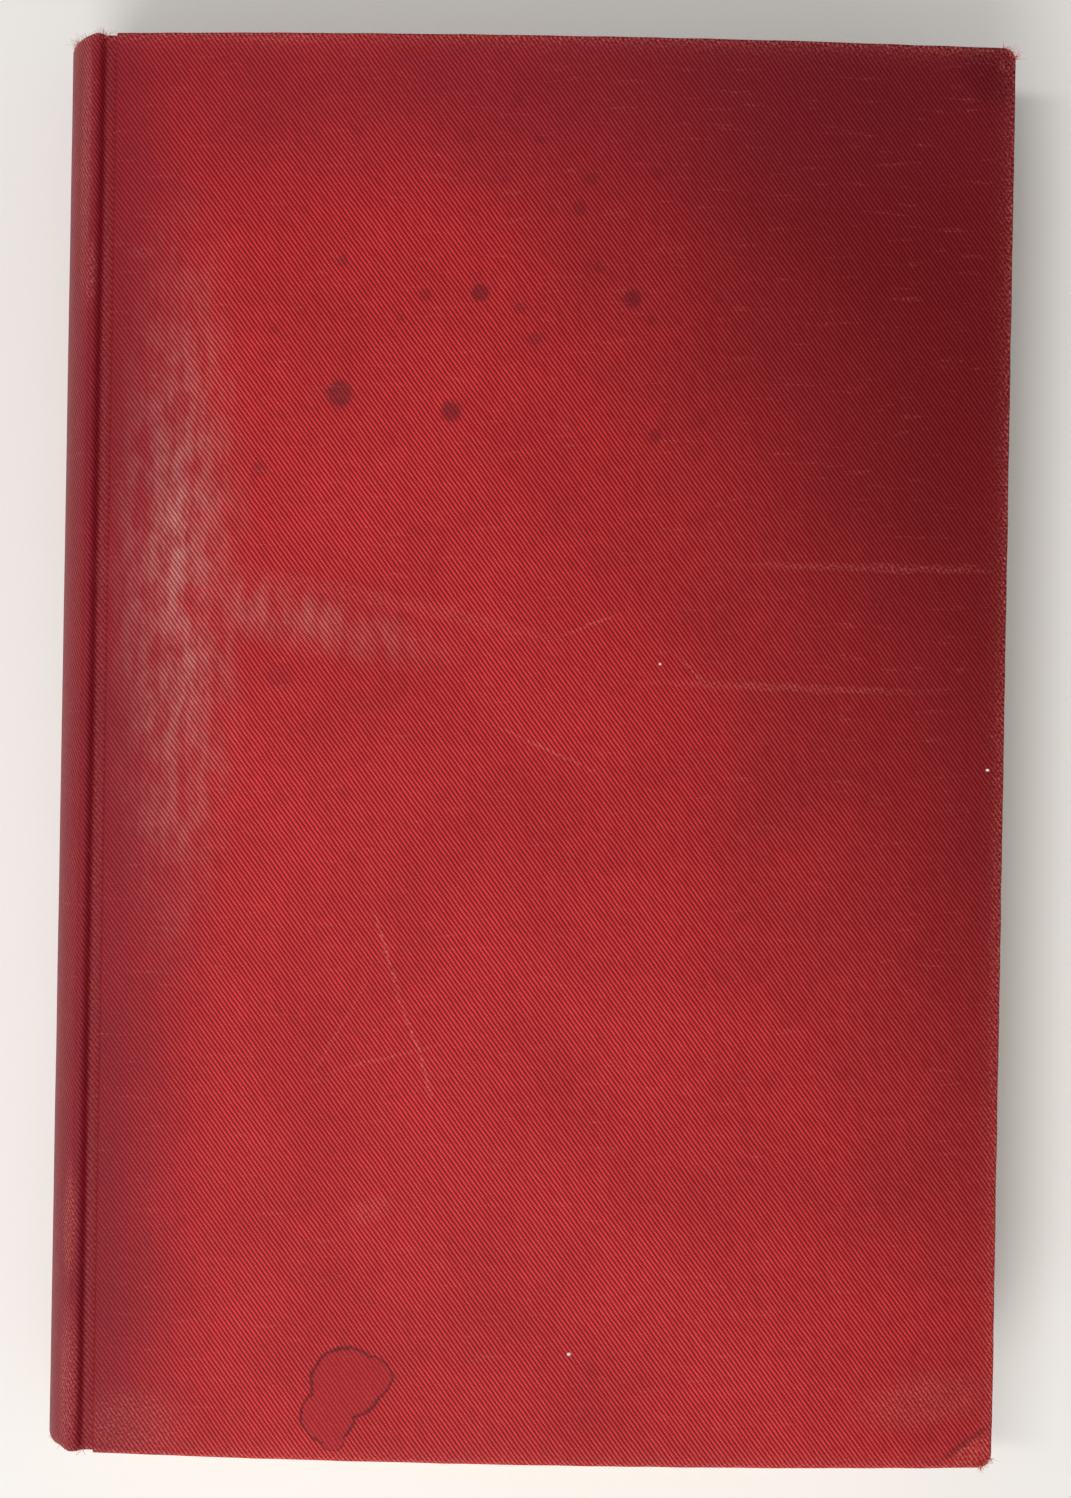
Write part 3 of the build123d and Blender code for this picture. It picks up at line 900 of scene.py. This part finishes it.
def flyleaf_grid(side):
    """The free half of an endpaper, over the shoulder and along the outermost leaf."""
    foot = TIP_X + SHOULDER_RUN
    xs = [TIP_X + SHOULDER_RUN * i / 6 for i in range(7)]
    xs += [foot + (LEAF_FORE - foot) * i / 60 for i in range(1, 61)]
    columns = []
    for x in xs:
        level = abs(leaf_level(x, side * BLOCK_HALF)) + PAPER
        column = []
        for y in spread(-LEAF_HALF, LEAF_HALF, False, False):
            wave = 0.03 * noise.noise(Vector((x / 30, y / 40, side)))
            column.append(((x, y, MIDDLE + side * (level + wave)), (x, y, 0.0), 0.0))
        columns.append(column)
    return columns


def paper_sheet(name, columns, facing, material):
    """A thin sheet of paper from a grid of points."""
    sheet = Sheet()
    sheet.grid(columns)
    mesh = sheet.mesh(name)
    joined(mesh, facing)
    piece = shown(mesh, material)
    thicken(piece, 0.8 * PAPER * MM)
    return piece


def leaf_group(sheet, low, high, jitter):
    """One group of leaves between two levels, as a thin closed slab that follows the block."""
    middle = (low + high) / 2
    tip = middle * TIP_LEVEL / BLOCK_HALF
    back = CENTRE_X - math.sqrt(BACK_RADIUS**2 - tip**2) + 0.02
    hollow = BACK_RADIUS - math.sqrt(BACK_RADIUS**2 - BLOCK_HALF**2)
    fore = LEAF_FORE - hollow + BACK_RADIUS - math.sqrt(BACK_RADIUS**2 - middle**2) - jitter[0]
    foot = TIP_X + SHOULDER_RUN
    xs = [back + (foot - back) * i / 6 for i in range(7)]
    xs += [foot + (fore - foot) * i / 24 for i in range(1, 25)]
    ends = (-LEAF_HALF + jitter[1], LEAF_HALF - jitter[2])
    ring = [(x, high) for x in xs] + [(x, low) for x in reversed(xs)]
    ring.append(ring[0])
    base = len(sheet.points)
    sheet.grid([[((x, y, MIDDLE + leaf_level(x, z)), (x, y, z), 0.0) for y in ends] for x, z in ring])
    count = len(xs)
    for end in (0, 1):
        for i in range(count - 1):
            quad = [base + 2 * k + end for k in (i, i + 1, 2 * count - 2 - i, 2 * count - 1 - i)]
            sheet.faces.append(quad)


def make_leaves(settings):
    """The leaves as thin groups, each cut a little differently from its neighbours."""
    draw = random.Random(7)
    sheet = Sheet()
    step = 2 * BLOCK_HALF / settings.groups
    spare = settings.unevenness / MM
    for i in range(settings.groups):
        low = -BLOCK_HALF + i * step
        jitter = [draw.uniform(0, spare) for _ in range(3)]
        leaf_group(sheet, low + 0.02, low + step - 0.015, jitter)
    mesh = sheet.mesh("leaves")
    joined(mesh, 1)
    return shown(mesh, make_leaf_edges(settings))


# ---------------------------------------------------------------------------------------------
# Frayed cloth


def fibre(sheet, draw, root, lean, reach, radius):
    """One thin curling thread end, as a three-sided tube that narrows to its tip."""
    sway = Vector([draw.gauss(0, 0.5) for _ in range(3)])
    rings = []
    for i in range(6):
        t = i / 5
        centre = Vector(root) + Vector(lean) * reach * t + sway * reach * t * t
        side = Vector(lean).cross(Vector((0.3, 0.2, 1))).normalized()
        up = side.cross(Vector(lean)).normalized()
        size = radius * (1 - 0.7 * t)
        ring = []
        for k in range(4):
            turn = 2 * math.pi * (k % 3) / 3
            point = centre + side * math.cos(turn) * size + up * math.sin(turn) * size
            ring.append((tuple(point), (0.0, 0.0, 0.0), 0.0))
        rings.append(ring)
    sheet.grid(rings)


def fray(name, edge, outward, count, reach, seed, material):
    """A fringe of broken thread ends along a short worn edge."""
    draw = random.Random(seed)
    sheet = Sheet()
    start, end = (Vector(point) for point in edge)
    for _ in range(count):
        root = start.lerp(end, draw.random()) + Vector([draw.gauss(0, 0.16) for _ in range(3)])
        lean = (Vector(outward) + Vector([draw.gauss(0, 0.45) for _ in range(3)])).normalized()
        fibre(sheet, draw, root, lean, reach * draw.uniform(0.35, 1.0), draw.uniform(0.04, 0.08))
    mesh = sheet.mesh(name)
    joined(mesh, 1)
    piece = shown(mesh, material)
    return piece


# ---------------------------------------------------------------------------------------------
# Operators


class BOOK_OT_cloth_case(bpy.types.Operator):
    """Wraps both boards and the spine in one red twill book cloth, turned in all round"""

    bl_idname = "book.cloth_case"
    bl_label = "Cloth Case"

    def execute(self, context):
        settings = context.scene.book_case
        half = spine_stations()
        joint = joint_stations()
        front = mirrored(half) + half[1:] + joint
        cloth = make_glazed_twill(settings, True)
        piece = case_piece("case_cloth_front", 1, FRONT_BOW, front, settings, cloth)
        bend_across_joint(piece, 1)
        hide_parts("front_cloth", "spine_cloth")
        back = [half[-1]] + joint
        cloth = make_glazed_twill(settings, False)
        piece = case_piece("case_cloth_back", -1, 0.0, back, settings, cloth)
        bend_across_joint(piece, -1)
        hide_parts("back_cloth")
        return {"FINISHED"}


class BOOK_OT_leaves(bpy.types.Operator):
    """Fills the block with thin groups of aged leaves"""

    bl_idname = "book.leaves"
    bl_label = "Leaves"

    def execute(self, context):
        piece = make_leaves(context.scene.book_leaves)
        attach(piece, "text_block")
        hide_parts("page_block")
        return {"FINISHED"}


class BOOK_OT_endpapers(bpy.types.Operator):
    """Lays a flyleaf on each side of the block and pastes its other half inside the cover"""

    bl_idname = "book.endpapers"
    bl_label = "Endpapers"

    def execute(self, context):
        material = make_endpaper(context.scene.book_leaves)
        for side, word, bow in ((1, "front", FRONT_BOW), (-1, "back", 0.0)):
            pasted = paper_sheet(f"{word}_pasted_paper", pastedown_grid(side, bow), -side, material)
            bend_across_joint(pasted, side)
            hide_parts(f"{word}_pastedown")
            free = paper_sheet(f"{word}_free_paper", flyleaf_grid(side), side, material)
            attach(free, "text_block")
            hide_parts(f"{word}_flyleaf")
        return {"FINISHED"}


class BOOK_OT_inner_parts(bpy.types.Operator):
    """Finishes the boards, card, gauze, lining and bands that the frame holds"""

    bl_idname = "book.inner_parts"
    bl_label = "Inner Parts"

    def execute(self, context):
        greyboard = make_pressed_fibre("millboard", "#8f8674", "#5f5748", 0.9, 0.05)
        card = make_pressed_fibre("rolled_card", "#a08a66", "#74603f", 0.6, 0.03)
        kraft = make_pressed_fibre("kraft_paper", "#a07a4c", "#7c5a34", 0.5, 0.02)
        mull = make_mull()
        thread = make_worked_thread()
        finishes = {
            "front_board": greyboard, "back_board": greyboard, "spine_card": card, "spine_lining": kraft,
            "spine_gauze": mull, "front_gauze": mull, "back_gauze": mull,
            "head_band": thread, "tail_band": thread,
        }
        for node, material in finishes.items():
            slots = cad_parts[node].material_slots
            if not slots:
                raise RuntimeError(f"{node} has no material slot")
            for slot in slots:
                slot.material = material
        return {"FINISHED"}


class BOOK_OT_frayed_cloth(bpy.types.Operator):
    """Adds the broken thread ends at both caps of the spine and both fore corners"""

    bl_idname = "book.frayed_cloth"
    bl_label = "Frayed Cloth"

    def execute(self, context):
        material = make_frayed_cotton()
        crest = MIDDLE + CREST_LEVEL + CREST_RADIUS
        lower = MIDDLE + SPINE_RADIUS * math.sin(math.radians(25))
        lower_x = CENTRE_X - SPINE_RADIUS * math.cos(math.radians(25))
        top = MIDDLE + OUTER
        caps = ((CREST_X - 0.6, 1, 1.5, 130), (CREST_X - 0.4, -1, 0.9, 70))
        for x, end, reach, count in caps:
            edge = ((lower_x, end * (HALF - 0.9), lower), (x + 2.2, end * (HALF - 0.5), crest - 0.4))
            word = "head" if end > 0 else "tail"
            piece = fray(f"{word}_cap_fray", edge, (-0.2, end, 0.1), count, reach, 11 + end, material)
            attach(piece, "text_block")
        for end, reach, count in ((1, 1.1, 80), (-1, 0.9, 60)):
            edge = ((FORE - 2.2, end * (HALF - 0.35), top - 0.2), (FORE - 0.4, end * (HALF - 2.0), top - 0.2))
            word = "head" if end > 0 else "tail"
            piece = fray(f"{word}_corner_fray", edge, (0.7, end * 0.7, 0.1), count, reach, 31 + end, material)
            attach(piece, "front_cover")
        return {"FINISHED"}


class BOOK_OT_stage(bpy.types.Operator):
    """Sets the pale floor, the soft lamps and the overhead camera"""

    bl_idname = "book.stage"
    bl_label = "Stage"

    def execute(self, context):
        settings = context.scene.book_stage
        make_floor(settings)
        make_sky(settings)
        aim = Vector((0, 0, 2 * MIDDLE * MM))
        make_lamp("key_lamp", (-0.3, -0.85, 0.95), aim, 0.7, 0.7, settings.key_power)
        aim = Vector((-0.06, 0.02, 0.03))
        make_lamp("sheen_lamp", (-0.345, 0.06, 0.98), aim, 0.08, 0.34, settings.sheen_power)
        make_camera(context.scene, settings)
        context.scene.view_settings.view_transform = "Standard"
        return {"FINISHED"}


FLOOR_REACH = 3.0  # metres each way


def make_floor(settings):
    """A plain pale floor, matt and faintly mottled."""
    mesh = bpy.data.meshes.new("floor")
    corners = [(FLOOR_REACH * x, FLOOR_REACH * y, 0) for x, y in ((-1, -1), (1, -1), (1, 1), (-1, 1))]
    mesh.from_pydata(corners, [], [(0, 1, 2, 3)])
    material, tree, shader = new_material("matt_floor_paint")
    mottle = add(tree, "TexNoise", add(tree, "TexCoord", out=3), 9.0, 2.0)
    share = add(tree, "MapRange", mottle, 0.3, 0.7, 0, 0.06, **EASED)
    paint = add(tree, "Mix", share, settings.floor, linear("#d8d2ca"), **MIXED)
    finish_shader(tree, shader, paint, mottle, 0.01 * MM, 0.8)
    floor = shown(mesh, material)


def make_sky(settings):
    """A soft light from all round, brighter past the spine and the tail than the fore edge."""
    world = bpy.data.worlds.new("studio")
    world.use_nodes = True
    tree = world.node_tree
    background = tree.nodes["Background"]
    side = add(tree, "VectorMath", add(tree, "TexCoord"), (-0.35, -0.6, 0.1), operation="DOT_PRODUCT")
    share = add(tree, "MapRange", side, -0.45, 0.5, **EASED)
    light = add(tree, "Mix", share, linear("#73777f"), linear("#fffdfa"), **MIXED)
    tree.links.new(light, background.inputs["Color"])
    background.inputs["Strength"].default_value = settings.sky
    bpy.context.scene.world = world


def make_lamp(name, place, aim, width, height, power):
    """A soft rectangular lamp turned to its aim."""
    light = bpy.data.lights.new(name, "AREA")
    light.shape = "RECTANGLE"
    light.size, light.size_y = width, height
    light.energy = power
    lamp = bpy.data.objects.new(name, light)
    lamp.location = place
    lamp.rotation_euler = (Vector(place) - aim).to_track_quat("Z", "Y").to_euler()
    bpy.context.scene.collection.objects.link(lamp)


def make_camera(scene, settings):
    """A camera straight above the closed book, turned by the book's own small skew."""
    data = bpy.data.cameras.new("overhead")
    data.lens = settings.lens
    data.clip_start = 0.01
    camera = bpy.data.objects.new("overhead", data)
    camera.location = (1.8 * MM, 0.2 * MM, settings.camera_height)
    camera.rotation_euler = (0, 0, math.radians(1.0))
    scene.collection.objects.link(camera)
    scene.camera = camera


class BOOK_PT_book(bpy.types.Panel):
    """The book's pieces and settings in the sidebar"""

    bl_label = "Hardback Book"
    bl_space_type = "VIEW_3D"
    bl_region_type = "UI"
    bl_category = "Book"

    def draw(self, context):
        for group in (context.scene.book_case, context.scene.book_leaves, context.scene.book_stage):
            column = self.layout.column(align=True)
            for key in type(group).__annotations__:
                column.prop(group, key)
        column = self.layout.column(align=True)
        for operator in OPERATORS:
            column.operator(operator.bl_idname)


GROUPS = {"book_case": BookCaseSettings, "book_leaves": BookLeavesSettings, "book_stage": BookStageSettings}
OPERATORS = (
    BOOK_OT_stage, BOOK_OT_cloth_case, BOOK_OT_leaves, BOOK_OT_endpapers, BOOK_OT_inner_parts,
    BOOK_OT_frayed_cloth,
)


def register():
    """Adds the settings, operators and panel."""
    for name, group in GROUPS.items():
        bpy.utils.register_class(group)
        setattr(bpy.types.Scene, name, bpy.props.PointerProperty(type=group))
    for kind in (*OPERATORS, BOOK_PT_book):
        bpy.utils.register_class(kind)


def unregister():
    """Takes them away again."""
    for kind in reversed((*OPERATORS, BOOK_PT_book)):
        bpy.utils.unregister_class(kind)
    for name, group in GROUPS.items():
        delattr(bpy.types.Scene, name)
        bpy.utils.unregister_class(group)


def main():
    """Builds the book in order."""
    register()
    bpy.ops.book.stage()
    bpy.ops.book.cloth_case()
    bpy.ops.book.leaves()
    bpy.ops.book.endpapers()
    bpy.ops.book.inner_parts()
    bpy.ops.book.frayed_cloth()


if __name__ == "__main__":
    main()
